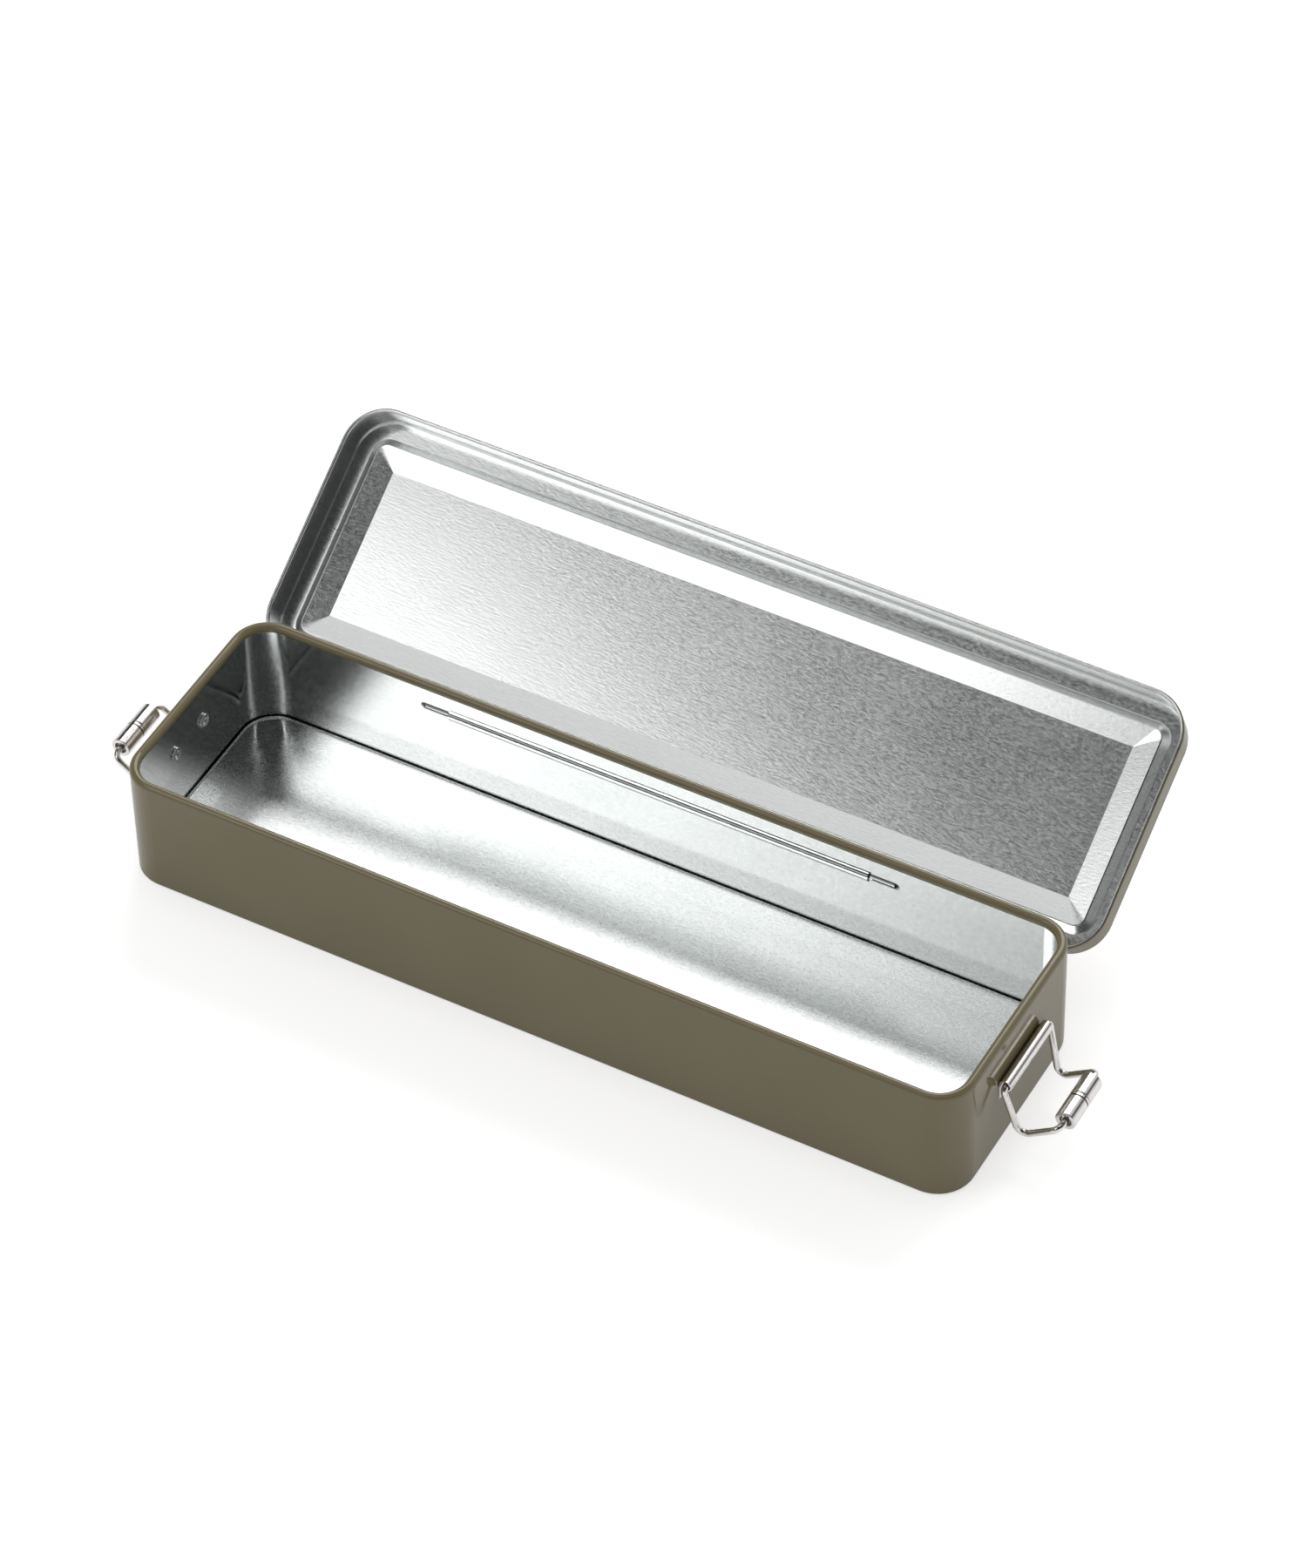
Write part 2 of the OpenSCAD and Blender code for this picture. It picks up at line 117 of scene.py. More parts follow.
class TinColors(bpy.types.PropertyGroup):
    """Colours and gloss of the finishes"""

    enamel: color("Enamel", "Colour of the enamel", (0.192, 0.163, 0.087))
    enamel_tone: color("Enamel Tone", "Second tone that drifts through the enamel",
                       (0.176, 0.148, 0.077))
    tin_light: color("Tin, Light", "Bright grains of the tinplate", (0.90, 0.92, 0.91))
    tin_dark: color("Tin, Dark", "Dull grains of the tinplate", (0.80, 0.82, 0.815))
    nickel: color("Nickel", "Plating of the catches and rivets", (0.88, 0.855, 0.84))
    wire: color("Drawn Wire", "Bare wire of the hinge", (0.72, 0.72, 0.71))
    lid_rough: factor("Lid Roughness", "Roughness of the lid's tinplate", 0.21)
    wall_rough: factor("Wall Roughness", "Roughness of the tinplate inside the wall", 0.11)
    pan_rough: factor("Pan Roughness", "Roughness of the floor pan's tinplate", 0.26)
    nickel_rough: factor("Nickel Roughness", "Roughness of the nickel plating", 0.185)
    wire_rough: factor("Wire Roughness", "Roughness of the hinge wire", 0.14)


class TinStage(bpy.types.PropertyGroup):
    """Camera, floor and lights"""

    lens: FloatProperty(name="Lens", description="Focal length of the camera", default=147.846,
                        min=50, max=300, unit="CAMERA")
    floor: color("Floor", "Colour of the floor paper", (0.85, 0.85, 0.85))
    key: FloatProperty(name="Key Radiance", description="Radiance of the large front softbox",
                       default=2.05, min=0, max=6)
    back: FloatProperty(name="Back Radiance", description="Radiance of the large rear softbox",
                        default=3.8, min=0, max=6)
    ambient: FloatProperty(name="Ambient", description="Even light that reaches matt surfaces",
                           default=0.26, min=0, max=1)


# ---- mesh helpers ----

WELDS_PER_MM = 20000  # points that agree to one part of this many are one point


def arc(cx, cy, r, a0, a1, n, flip=1):
    """Points (x, y, nx, ny) of an arc in degrees; flip is 1 for outward normals, else -1."""
    out = []
    for i in range(n + 1):
        a = math.radians(a0 + (a1 - a0) * i / n)
        c, s = math.cos(a), math.sin(a)
        out.append((cx + r * c, cy + r * s, flip * c, flip * s))
    return out


def outline(pts, side=1, seg=6):
    """Rounds the inner points of a polyline [(x, y, radius)] and returns runs of
    (x, y, nx, ny); a point with radius 0 splits the run, so it stays a crisp edge."""
    runs, run = [], []
    n = len(pts)
    vec = [Vector((p[0], p[1])) for p in pts]
    dirs = [(vec[i + 1] - vec[i]).normalized() for i in range(n - 1)]
    nor = [Vector((-d.y, d.x)) * side for d in dirs]
    run.append((*vec[0], *nor[0]))
    for i in range(1, n - 1):
        r = pts[i][2]
        a, b = dirs[i - 1], dirs[i]
        turn = a.angle(b) if a.length and b.length else 0
        if r <= 0 or turn < 1e-4:
            run.append((*vec[i], *nor[i - 1]))
            runs.append(run)
            run = [(*vec[i], *nor[i])]
            continue
        cut = r * math.tan(turn / 2)
        left = a.x * b.y - a.y * b.x > 0
        c = vec[i] - a * cut + Vector((-a.y, a.x)) * (r if left else -r)
        for k in range(seg + 1):
            t = turn * k / seg * (1 if left else -1)
            m = Matrix.Rotation(t, 2)
            p = c + m @ (vec[i] - a * cut - c)
            run.append((*p, *(m @ nor[i - 1])))
    run.append((*vec[-1], *nor[-1]))
    runs.append(run)
    return runs


def finished_mesh(name, verts, normals, faces, mats, index=None, place=None):
    """A welded mesh from points, point normals and faces, all in mm. Faces are turned to
    agree with the normals, which are kept at every corner."""
    v, n = np.array(verts, float), np.array(normals, float)
    n /= np.maximum(np.linalg.norm(n, axis=1, keepdims=True), 1e-12)
    if place is not None:
        a = np.array(place, float)
        v = v @ a[:3, :3].T + a[:3, 3]
        n = n @ a[:3, :3].T
    _, first, weld = np.unique(np.round(v * WELDS_PER_MM).astype(np.int64), axis=0,
                               return_index=True, return_inverse=True)
    weld = weld.reshape(-1)
    kept, corner, coats = [], [], []
    for at, f in enumerate(faces):
        f = [i for k, i in enumerate(f) if weld[i] != weld[f[k - 1]]]
        if len(f) < 3:
            continue
        p = v[f]
        up = np.cross(p - p[0], np.roll(p, -1, axis=0) - p[0]).sum(axis=0)
        if np.linalg.norm(up) < 1e-9:
            continue
        if up @ n[f].sum(axis=0) < 0:
            f = f[::-1]
        kept.append([int(weld[i]) for i in f])
        coats.append(index[at] if index else 0)
        corner += f
    data = bpy.data.meshes.new(name)
    data.from_pydata((v[first] * MM).tolist(), [], kept)
    data.polygons.foreach_set("use_smooth", [True] * len(kept))
    data.polygons.foreach_set("material_index", coats)
    for m in mats:
        data.materials.append(m)
    data.normals_split_custom_set(n[corner].tolist())
    return data


class Build:
    """Gathers points, normals and faces in mm, and makes one object with those exact normals.
    coat is the number of the material that new faces take."""

    def __init__(self):
        self.v, self.n, self.f, self.m = [], [], [], []
        self.coat = 0

    def grid(self, rows, closed=False):
        """Faces between rows of (point, normal); all rows have the same length."""
        base = len(self.v)
        k = len(rows[0])
        for row in rows:
            for p, n in row:
                self.v.append(p)
                self.n.append(n)
        for i in range(len(rows) - 1):
            for j in range(k if closed else k - 1):
                a, b = base + i * k + j, base + i * k + (j + 1) % k
                self.f.append((a, b, b + k, a + k))
                self.m.append(self.coat)

    def flat(self, pts, normal):
        """One flat face."""
        base = len(self.v)
        self.v += [tuple(p) for p in pts]
        self.n += [normal] * len(pts)
        self.f.append(tuple(range(base, base + len(pts))))
        self.m.append(self.coat)

    def make(self, name, mats, place=None):
        """One object of all that was gathered."""
        return link(name, finished_mesh(name, self.v, self.n, self.f, mats, self.m, place))


def link(name, data):
    """A new object in the scene."""
    o = bpy.data.objects.new(name, data)
    bpy.context.scene.collection.objects.link(o)
    return o


def ring(hx, y0, y1, r, z, nd=0.0, nz=1.0, nc=14, gap=None):
    """Points and normals round an upright rounded rectangle. With gap, the ring is open and
    leaves out |x| < gap on its rear side."""
    r = max(r, 0.0)
    out = []
    start = hx - r
    if gap is not None:
        out.append(((gap, y1, z), (0, nd, nz)))
    for cx, cy, a0 in ((start, y1 - r, 90), (start, y0 + r, 0), (-start, y0 + r, -90),
                       (-start, y1 - r, -180)):
        for i in range(nc + 1):
            a = math.radians(a0 - 90 * i / nc)
            c, s = math.cos(a), math.sin(a)
            out.append(((cx + r * c, cy + r * s, z), (nd * c, nd * s, nz)))
    if gap is not None:
        out.append(((-gap, y1, z), (0, nd, nz)))
    return out


def extrude_x(build, runs, a, b):
    """Runs sections of (y, z, ny, nz) between a and b along X."""
    for run in runs:
        build.grid([[((w, y, z), (0, ny, nz)) for y, z, ny, nz in run] for w in (a, b)])


def opened_matrix():
    """Puts a closed lid where it lies at rest."""
    c = Vector((0, HINGE["y"], HINGE["z"]))
    return (Matrix.Translation(c) @ Matrix.Rotation(-math.radians(HINGE["angle"]), 4, "X")
            @ Matrix.Translation(-c))


# ---- swept pieces by geometry nodes ----

SWEEP_INPUTS = (
    ("Half Length", "NodeSocketFloat", 0.01), ("Half Width", "NodeSocketFloat", 0.01),
    ("Corner Radius", "NodeSocketFloat", 0.002), ("Steps", "NodeSocketInt", 16),
    ("Turn", "NodeSocketVector", None), ("Centre", "NodeSocketVector", None),
    ("Lobes", "NodeSocketFloat", 0.0), ("Lobe Depth", "NodeSocketFloat", 0.0),
    ("Lobe From", "NodeSocketFloat", 0.0), ("Count", "NodeSocketInt", 1),
    ("Pitch", "NodeSocketVector", None), ("Material", "NodeSocketMaterial", None))


class Tree:
    """Short calls that add nodes to one geometry tree."""

    def __init__(self, name):
        self.t = bpy.data.node_groups.new(name, "GeometryNodeTree")
        face = self.t.interface
        face.new_socket("Geometry", in_out="INPUT", socket_type="NodeSocketGeometry")
        for label, kind, default in SWEEP_INPUTS:
            s = face.new_socket(label, in_out="INPUT", socket_type=kind)
            if default is not None:
                s.default_value = default
        face.new_socket("Geometry", in_out="OUTPUT", socket_type="NodeSocketGeometry")
        self.given = self.t.nodes.new("NodeGroupInput").outputs
        self.out = self.t.nodes.new("NodeGroupOutput").inputs[0]

    def add(self, kind, *values, out=0, **settings):
        """Adds a node, sets its inputs in order of the enabled ones, and gives an output."""
        n = self.t.nodes.new(kind)
        for k, v in settings.items():
            setattr(n, k, v)
        ins = [s for s in n.inputs if s.enabled]
        for s, v in zip(ins, values):
            if isinstance(v, bpy.types.NodeSocket):
                self.t.links.new(v, s)
            elif v is not None:
                s.default_value = v
        return [s for s in n.outputs if s.enabled][out]

    def vec(self, op, *values):
        return self.add("ShaderNodeVectorMath", *values, operation=op)

    def num(self, op, *values):
        return self.add("ShaderNodeMath", *values, operation=op)

    def read(self, name, kind="FLOAT"):
        return self.add("GeometryNodeInputNamedAttribute", name, data_type=kind)

    def store(self, geometry, name, value, kind="FLOAT_VECTOR"):
        return self.add("GeometryNodeStoreNamedAttribute", geometry, None, name, value,
                        data_type=kind, domain="POINT")


def sweep_tree(name, round_rail):
    """A tree that carries a section round a circle or a rounded rectangle. The section is a
    chain of edges whose points hold their distance from the rail, their height and their
    normal; the result may swell in lobes, and is repeated Count times along Pitch."""
    t = Tree(name)
    g = t.given
    zero, tall = (0, 0, 0), 10.0  # tall is more than any height, so height plays no part
    if round_rail:
        rail = t.add("GeometryNodeCurvePrimitiveCircle", g["Steps"], 0.001, mode="RADIUS")
        core = zero
    else:
        wide = t.num("MULTIPLY", g["Half Length"], 2.0)
        deep = t.num("MULTIPLY", g["Half Width"], 2.0)
        rail = t.add("GeometryNodeCurvePrimitiveQuadrilateral", wide, deep, mode="RECTANGLE")
        fillet = t.t.nodes.new("GeometryNodeFilletCurve")
        if hasattr(fillet, "mode"):
            fillet.mode = "POLY"
        t.t.links.new(rail, fillet.inputs["Curve"])
        t.t.links.new(g["Corner Radius"], fillet.inputs["Radius"])
        t.t.links.new(g["Steps"], fillet.inputs["Count"])
        rail = fillet.outputs[0]
        core = t.add("ShaderNodeCombineXYZ",
                     t.num("SUBTRACT", g["Half Length"], g["Corner Radius"]),
                     t.num("SUBTRACT", g["Half Width"], g["Corner Radius"]), tall)
    here = t.add("GeometryNodeInputPosition")
    past = t.vec("MAXIMUM", t.vec("SUBTRACT", t.vec("ABSOLUTE", here), core), zero)
    away = t.vec("NORMALIZE", t.vec("MULTIPLY", past, t.vec("SIGN", here)))
    rail = t.store(rail, "away", away)
    rail = t.store(rail, "foot", zero if round_rail else here)
    section = t.add("GeometryNodeMeshToCurve", g["Geometry"])
    body = t.add("GeometryNodeCurveToMesh", rail, section)
    away, foot = t.read("away", "FLOAT_VECTOR"), t.read("foot", "FLOAT_VECTOR")
    far = t.read("reach")
    part = t.add("ShaderNodeSeparateXYZ", away)
    angle = t.num("ARCTAN2", part.node.outputs[1], part.node.outputs[0])
    wave = t.num("COSINE", t.num("MULTIPLY", angle, g["Lobes"]))
    swell = t.num("MULTIPLY", t.num("MULTIPLY", wave, g["Lobe Depth"]),
                  t.num("GREATER_THAN", far, g["Lobe From"]))
    far = t.num("MULTIPLY_ADD", far, swell, far)
    up = t.add("ShaderNodeCombineXYZ", 0.0, 0.0, t.read("height"))
    side = t.add("ShaderNodeVectorMath", away, operation="SCALE")
    t.t.links.new(far, side.node.inputs["Scale"])
    place = t.vec("ADD", t.vec("ADD", foot, side), up)
    lean = t.add("ShaderNodeVectorMath", away, operation="SCALE")
    t.t.links.new(t.read("n_out"), lean.node.inputs["Scale"])
    normal = t.vec("ADD", lean, t.add("ShaderNodeCombineXYZ", 0.0, 0.0, t.read("n_up")))

    def turned(v):
        n = t.t.nodes.new("ShaderNodeVectorRotate")
        n.rotation_type = "EULER_XYZ"
        t.t.links.new(v, n.inputs["Vector"])
        t.t.links.new(g["Turn"], n.inputs["Rotation"])
        return n.outputs[0]

    body = t.store(body, "normal_kept", turned(normal))
    body = t.add("GeometryNodeSetPosition", body, None, t.vec("ADD", turned(place), g["Centre"]))
    line = t.t.nodes.new("GeometryNodeMeshLine")
    t.t.links.new(g["Count"], line.inputs["Count"])
    t.t.links.new(g["Pitch"], line.inputs["Offset"])
    row = t.add("GeometryNodeInstanceOnPoints", line.outputs[0], None, body)
    row = t.add("GeometryNodeRealizeInstances", row)
    t.t.links.new(t.add("GeometryNodeSetMaterial", row, None, g["Material"]), t.out)
    return t.t


def swept(name, runs, mats, fills=(), **inputs):
    """Carries runs of (reach, height, n_out, n_up), in mm, round the rail of a sweep tree and
    gives a plain object. Each fill (reach, height, n_up) closes one ring with a flat face."""
    data = bpy.data.meshes.new(name)
    rows = [p for run in runs for p in run]
    edges, base = [], 0
    for run in runs:
        edges += [(base + i, base + i + 1) for i in range(len(run) - 1)]
        base += len(run)
    data.from_pydata([(r * MM, a * MM, 0) for r, a, _, _ in rows], edges, [])
    for k, (label, s) in enumerate((("reach", MM), ("height", MM), ("n_out", 1), ("n_up", 1))):
        at = data.attributes.new(label, "FLOAT", "POINT")
        at.data.foreach_set("value", [p[k] * s for p in rows])
    o = link(name, data)
    kind = "sweep_round_a_rectangle" if "Half Length" in inputs else "turn_round_an_axis"
    tree = bpy.data.node_groups.get(kind) or sweep_tree(kind, kind.startswith("turn"))
    mod = o.modifiers.new("sweep", "NODES")
    mod.node_group = tree
    inputs["Material"] = mats[0]
    for item in tree.interface.items_tree:
        if item.in_out == "INPUT" and item.name in inputs:
            mod[item.identifier] = inputs[item.name]
    depsgraph = bpy.context.evaluated_depsgraph_get()
    whole = bpy.data.meshes.new_from_object(o.evaluated_get(depsgraph))
    o.modifiers.remove(mod)
    count = len(whole.vertices)

    def values(label, kind, width):
        out = np.zeros(count * width)
        whole.attributes[label].data.foreach_get(kind, out)
        return out.reshape(count, width)

    v, n = values("position", "vector", 3) / MM, values("normal_kept", "vector", 3)
    reach = values("reach", "value", 1)[:, 0] / MM
    height = values("height", "value", 1)[:, 0] / MM
    v, n = v.tolist(), n.tolist()
    faces = [tuple(p.vertices) for p in whole.polygons]
    if not faces:
        raise RuntimeError(name + " came out of its tree with no faces")
    close = 1e-3
    for r, z, up in fills:
        loop = np.nonzero((abs(reach - r) < close) & (abs(height - z) < close))[0]
        loop = sorted(loop, key=lambda i: math.atan2(v[i][1], v[i][0]))
        faces.append(tuple(range(len(v), len(v) + len(loop))))
        v += [v[i] for i in loop]
        n += [(0, 0, up)] * len(loop)
    o.data = finished_mesh(name, v, n, faces, mats)
    for old in (data, whole):
        bpy.data.meshes.remove(old)
    return o


# ---- finishes ----

class Nodes:
    """Short calls that add nodes to one shader tree."""

    def __init__(self, tree):
        self.t = tree

    def add(self, kind, **settings):
        n = self.t.nodes.new(kind)
        for k, v in settings.items():
            setattr(n, k, v)
        return n

    def put(self, socket, value):
        if isinstance(value, bpy.types.NodeSocket):
            self.t.links.new(value, socket)
        elif value is not None:
            socket.default_value = value

    def fill(self, node, *values):
        for s, v in zip([s for s in node.inputs if s.enabled], values):
            self.put(s, v)
        return [s for s in node.outputs if s.enabled][0]

    def math(self, op, *values):
        return self.fill(self.add("ShaderNodeMath", operation=op), *values)

    def vmath(self, op, *values):
        return self.fill(self.add("ShaderNodeVectorMath", operation=op), *values)

    def length(self, vec):
        n = self.add("ShaderNodeVectorMath", operation="LENGTH")
        self.put(n.inputs[0], vec)
        return n.outputs["Value"]

    def hypotenuse(self, a, b):
        return self.math("SQRT", self.math("ADD", self.math("MULTIPLY", a, a),
                                           self.math("MULTIPLY", b, b)))

    def past(self, value, limit):
        """How far a value lies past a limit, or 0 before it."""
        return self.math("MAXIMUM", self.math("SUBTRACT", value, limit), 0.0)

    def stretch(self, vec, factors):
        n = self.add("ShaderNodeMapping")
        n.inputs["Scale"].default_value = factors
        self.put(n.inputs["Vector"], vec)
        return n.outputs[0]

    def noise(self, vec, scale, detail=2.0, rough=0.5, twist=0.0):
        n = self.add("ShaderNodeTexNoise")
        for label, v in (("Vector", vec), ("Scale", scale), ("Detail", detail),
                         ("Roughness", rough), ("Distortion", twist)):
            self.put(n.inputs[label], v)
        return n.outputs[0]

    def range(self, *values):
        """Value, then the range it comes from and the range it goes to."""
        return self.fill(self.add("ShaderNodeMapRange"), *values)

    def mix(self, f, a, b, kind="RGBA"):
        return self.fill(self.add("ShaderNodeMix", data_type=kind), f, a, b)

    def bump(self, height, strength, distance):
        n = self.add("ShaderNodeBump")
        for label, v in (("Strength", strength), ("Distance", distance), ("Height", height)):
            self.put(n.inputs[label], v)
        return n.outputs[0]

    def group(self, name, make, **given):
        """Places a shared effect, built on first use, and gives its outputs."""
        n = self.add("ShaderNodeGroup")
        n.node_tree = bpy.data.node_groups.get(name) or make(name)
        for label, v in given.items():
            self.put(n.inputs[label.replace("_", " ")], v)
        return n.outputs["Color"], n.outputs["Roughness"], n.outputs["Height"]


def effect_tree(name, takes):
    """An empty group that takes the named values and puts out colour, roughness and height."""
    t = bpy.data.node_groups.new(name, "ShaderNodeTree")
    for side, labels in (("INPUT", takes), ("OUTPUT", ("Color", "Roughness", "Height"))):
        for label in labels:
            kind = label.split()[-1]
            kind = kind if kind in ("Vector", "Color") else "Float"
            t.interface.new_socket(label, in_out=side, socket_type="NodeSocket" + kind)
    s = Nodes(t)
    return s, s.add("NodeGroupInput").outputs, s.add("NodeGroupOutput").inputs


def tinplate_grain(name):
    """Bright tinplate: small crystals and fine rolling lines, both drawn out along X."""
    s, given, out = effect_tree(name, ("Vector", "Light Color", "Dark Color", "Roughness"))
    cells = s.noise(s.stretch(given["Vector"], (0.42, 1, 1)), 1700, 3, 0.55, 0.3)
    lines = s.noise(s.stretch(given["Vector"], (0.08, 1, 1)), 5200, 2, 0.5)
    cloud = s.noise(given["Vector"], 38, 3, 0.55)
    s.put(out["Color"], s.mix(s.range(cells, 0.35, 0.7, 0.0, 1.0), given["Dark Color"],
                              given["Light Color"]))
    drift = s.math("ADD", s.range(cloud, 0.3, 0.7, -0.012, 0.012),
                   s.range(cells, 0.3, 0.7, -0.03, 0.04))
    s.put(out["Roughness"], s.math("ADD", given["Roughness"], drift))
    s.put(out["Height"], s.math("ADD", s.math("MULTIPLY", cells, 0.88),
                                s.math("MULTIPLY", lines, 0.34)))
    return s.t


def enamel_film(name):
    """Stoved enamel: a slow drift of tone and a faint orange peel."""
    s, given, out = effect_tree(name, ("Vector", "Base Color", "Tone Color"))
    drift = s.noise(given["Vector"], 25, 3, 0.5)
    s.put(out["Color"], s.mix(s.range(drift, 0.3, 0.7, 0.0, 1.0), given["Tone Color"],
                              given["Base Color"]))
    s.put(out["Roughness"], s.range(s.noise(given["Vector"], 140, 3, 0.6), 0.3, 0.7, 0.07, 0.11))
    s.put(out["Height"], s.noise(given["Vector"], 900, 2, 0.5))
    return s.t


def plating_wear(name):
    """Satin plating: drawing lines and dulled patches."""
    s, given, out = effect_tree(name, ("Vector", "Base Color", "Roughness"))
    wear = s.noise(given["Vector"], 420, 3, 0.6)
    worn = s.mix(0.08, given["Base Color"], (0.1, 0.1, 0.1, 1))
    s.put(out["Color"], s.mix(s.range(wear, 0.35, 0.75, 0.0, 1.0), given["Base Color"], worn))
    s.put(out["Roughness"], s.math("ADD", given["Roughness"],
                                   s.range(wear, 0.3, 0.7, -0.035, 0.035)))
    s.put(out["Height"], s.noise(s.stretch(given["Vector"], (1, 0.12, 1)), 6000, 2, 0.5))
    return s.t


# depths of the reliefs, in metres
TIN_RELIEF, PEEL_RELIEF, PLATING_RELIEF = 0.000016, 0.000006, 0.000003


def new_finish(name, metallic=0.0):
    """A material with one Principled shader; gives its tree helper, shader and coordinates."""
    m = bpy.data.materials.get(name) or bpy.data.materials.new(name)
    m.use_nodes = True
    s = Nodes(m.node_tree)
    s.t.nodes.clear()
    out, shader = s.add("ShaderNodeOutputMaterial"), s.add("ShaderNodeBsdfPrincipled")
    s.t.links.new(shader.outputs[0], out.inputs[0])
    shader.inputs["Metallic"].default_value = metallic
    return s, shader.inputs, s.add("ShaderNodeTexCoord").outputs["Object"]


def solid(c):
    """A colour with full alpha."""
    return (*c, 1)


def dress(s, shader, effect, strength, depth):
    """Feeds an effect's colour, roughness and height to a shader."""
    look, gloss, height = effect
    s.put(shader["Base Color"], look)
    s.put(shader["Roughness"], gloss)
    s.put(shader["Normal"], s.bump(height, strength, depth))


def grain(s, where, colors, rough):
    """The tinplate's effect with this tin's colours."""
    return s.group("tinplate_grain", tinplate_grain, Vector=where, Roughness=rough,
                   Light_Color=solid(colors.tin_light), Dark_Color=solid(colors.tin_dark))


def film(s, where, colors):
    """The enamel's effect with this tin's colours."""
    return s.group("enamel_film", enamel_film, Vector=where, Base_Color=solid(colors.enamel),
                   Tone_Color=solid(colors.enamel_tone))


def tinplate(name, colors, rough):
    """Bare bright tinplate."""
    s, shader, where = new_finish(name, 1.0)
    dress(s, shader, grain(s, where, colors, rough), 1.0, TIN_RELIEF)


def enamel(name, colors):
    """Enamel alone."""
    s, shader, where = new_finish(name)
    dress(s, shader, film(s, where, colors), 0.5, PEEL_RELIEF)


def plated(name, base, rough):
    """Drawn or plated metal."""
    s, shader, where = new_finish(name, 1.0)
    dress(s, shader, s.group("plating_wear", plating_wear, Vector=where, Base_Color=solid(base),
                             Roughness=rough), 0.6, PLATING_RELIEF)


# dark lines of painted shade on the wall's lining, in mm: heights from the wire or lengths, and
# half widths
SHADE = dict(rear=30, crease=1.83, crease_half=0.11, fold=-1.52, fold_half=0.08, fold_y=34.7,
             slit=0.98, slit_half=0.32, slit_past=0.2, slit_low=-0.6, slit_high=0.4,
             foot=1.1, foot_top=2.7)


def shade(s, inside, mid, ax, y, z, dz):
    """Painted shade in the creases where the channel meets the wall, the slits over the wire's
    loops and at the foot.
    """
    mm = {label: value * MM for label, value in SHADE.items()}
    rear = s.math("GREATER_THAN", y, mm["rear"])
    # painted shade: dark lines in the creases at the channel's upper and lower feet
    crease = s.math("COMPARE", s.math("ABSOLUTE", dz), mm["crease"], mm["crease_half"])
    fold = s.math("MULTIPLY", s.math("COMPARE", dz, mm["fold"], mm["fold_half"]),
                  s.math("LESS_THAN", y, mm["fold_y"]))
    crease = s.math("MULTIPLY", s.math("MAXIMUM", crease, fold), s.math("MULTIPLY", mid, rear))
    # painted shade in the open slits over the wire's loops, lighter towards each slit's lower edge
    round_end = s.hypotenuse(s.past(ax, LOOP_X * MM + mm["slit_past"]), dz)
    slit = s.math("MULTIPLY", s.math("COMPARE", round_end, mm["slit"], mm["slit_half"]),
                  s.math("MULTIPLY", s.math("SUBTRACT", 1.0, mid), rear))
    slit = s.math("MULTIPLY", slit, s.range(dz, mm["slit_low"], mm["slit_high"], 0.3, 0.93))
    lines = s.math("MAXIMUM", s.math("MULTIPLY", crease, 0.55), slit)
    # painted shade: darker towards the wall's foot, above the floor seam
    lines = s.math("MAXIMUM", lines, s.range(z, mm["foot"], mm["foot_top"], 0.75, 0.0))
    return s.math("MULTIPLY", lines, inside)


def body_masks(s, where):
    """Where the wall shows tinplate, and where painted shade lines darken it. The enamel goes over
    the rim;
    at the foot, the channel and the loops it meets the tin in the middle of the sheet."""
    hx, hy, r = BODY["l"] / 2 * MM, BODY["w"] / 2 * MM, BODY["r"] * MM
    half, tall = BODY["sheet"] / 2 * MM, 10
    core = s.vmath("SUBTRACT", s.vmath("ABSOLUTE", where), (hx - r, hy - r, tall))
    reach = s.length(s.vmath("MAXIMUM", core, (0, 0, 0)))
    inside = s.math("LESS_THAN", s.math("SUBTRACT", reach, r), -half)
    part = s.add("ShaderNodeSeparateXYZ")
    s.put(part.inputs[0], where)
    x, y, z = part.outputs
    low = s.math("LESS_THAN", z, (BODY["h"] - BODY["rim"] * 0.75) * MM)
    high = s.math("GREATER_THAN", z, half)
    dz = s.math("SUBTRACT", z, HINGE["z"] * MM)
    dist = s.hypotenuse(s.math("SUBTRACT", y, HINGE["y"] * MM), dz)
    ax, cut = s.math("ABSOLUTE", x), 0.1  # the channel's own end faces are left out
    mid = s.math("LESS_THAN", ax, (HINGE["knuckle"] / 2 - cut) * MM)
    channel = s.math("MULTIPLY", s.math("LESS_THAN", dist, HINGE["channel"] * MM + half), mid)
    deep = s.hypotenuse(dist, s.past(ax, LOOP_X * MM))
    loop = s.math("MULTIPLY", s.math("LESS_THAN", deep, HINGE["loop_bore"] * MM + half),
                  s.math("SUBTRACT", 1.0, mid))
    tin = s.math("MULTIPLY", s.math("MULTIPLY", inside, low), high)
    tin = s.math("MAXIMUM", s.math("MULTIPLY", tin, s.math("SUBTRACT", 1.0, channel)), loop)
    return tin, shade(s, inside, mid, ax, y, z, dz)


def enamel_over_tinplate(name, colors):
    """Enamel outside and over the rim, tinplate inside, told apart by the wall's middle."""
    s, shader, where = new_finish(name)
    tin, lines = body_masks(s, where)
    c1, r1, h1 = grain(s, where, colors, colors.wall_rough)
    c2, r2, h2 = film(s, where, colors)
    # painted shade: the crease, slit and foot lines darken the tinplate towards near black
    c1 = s.mix(lines, c1, (0.02, 0.02, 0.018, 1))
    s.put(shader["Base Color"], s.mix(tin, c2, c1))
    s.put(shader["Roughness"], s.mix(tin, r2, r1, "FLOAT"))
    s.put(shader["Metallic"], tin)
    height = s.mix(tin, s.math("MULTIPLY", h2, 0.14), s.math("MULTIPLY", h1, 0.5), "FLOAT")
    s.put(shader["Normal"], s.bump(height, 1.0, TIN_RELIEF))


